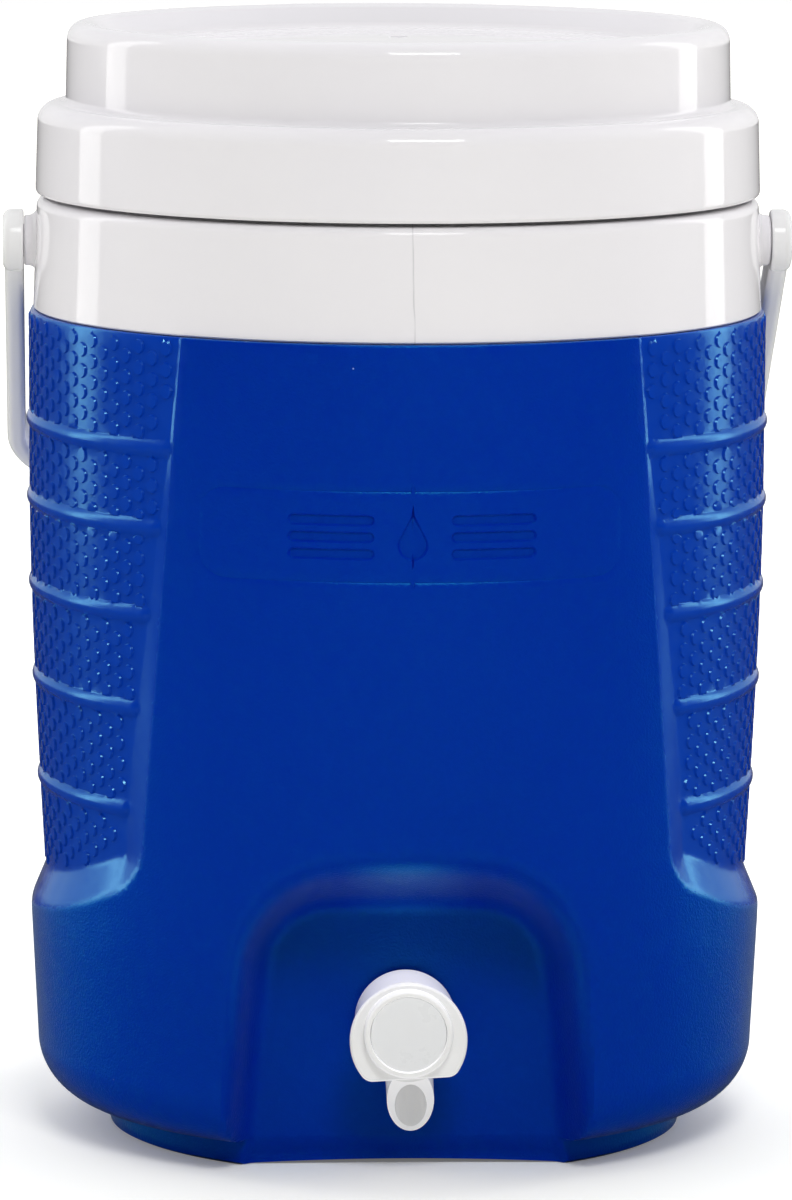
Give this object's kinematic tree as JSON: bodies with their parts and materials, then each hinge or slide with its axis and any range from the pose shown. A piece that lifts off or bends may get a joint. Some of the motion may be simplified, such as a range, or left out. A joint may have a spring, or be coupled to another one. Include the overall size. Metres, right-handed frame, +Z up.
{
  "type": "beverage dispenser",
  "caption": "Round insulated drink jug with a screw-on lid, a swing bail handle, grip pockets and a push-button spigot in a recess.",
  "frame": {"origin": "centre of the foot, on the floor", "axes": "+Z up, the spigot faces -Y, the bail's pivot runs along X"},
  "size_m": [0.2514, 0.2483, 0.354],
  "materials": {
    "blue_shell": "moulded polyethylene with a fine pebble",
    "white_plastic": "glossy moulded polyethylene",
    "lid_plastic": "glossy moulded polyethylene",
    "bail_plastic": "satin moulded plastic",
    "spigot_plastic": "satin moulded plastic",
    "button_plastic": "satin moulded plastic",
    "seal_rubber": "soft moulded silicone",
    "foam": "cellular polyurethane foam",
    "spring_steel": "drawn stainless wire",
    "clip_steel": "stamped stainless steel"
  },
  "bodies": {
    "jug": {"outer_shell": "blue_shell", "shell_insulation": "foam", "inner_liner": "white_plastic", "foam_fill_plug": "blue_shell", "spigot_body": "spigot_plastic", "spigot_outer_washer": "seal_rubber", "spigot_inner_washer": "seal_rubber", "spigot_nut": "spigot_plastic", "stem_o_ring": "seal_rubber"},
    "seal_ring": {"lid_gasket": "seal_rubber"},
    "lid": {"lid_cap": "lid_plastic", "lid_inner_pan": "lid_plastic", "lid_insulation": "foam"},
    "bail": {"bail_handle": "bail_plastic"},
    "button": {"push_button": "button_plastic", "plunger_stem": "button_plastic", "valve_seal": "seal_rubber", "stem_clip": "clip_steel", "return_spring": "spring_steel"}
  },
  "joints": [
    {"name": "lid_rise", "type": "slide", "parent": "jug", "child": "seal_ring", "axis": [0, 0, 1], "range_m": [0, 0.03161]},
    {"name": "lid_turn", "type": "hinge", "parent": "seal_ring", "child": "lid", "pos_m": [0, 0, 0.3], "axis": [0, 0, 1], "range_deg": [0, 700]},
    {"name": "bail_swing", "type": "hinge", "parent": "jug", "child": "bail", "pos_m": [0, 0, 0.2845], "axis": [1, 0, 0], "range_deg": [0, 250]},
    {"name": "button_push", "type": "slide", "parent": "jug", "child": "button", "axis": [0, 1, 0], "range_m": [0, 0.0035], "stiffness_N_per_m": 900, "springref_m": -0.003, "deforming": ["return_spring"]}
  ],
  "couplings": [
    {"joint": "lid_rise", "follows": "lid_turn", "m_per_rad": 0.0025465}
  ]
}
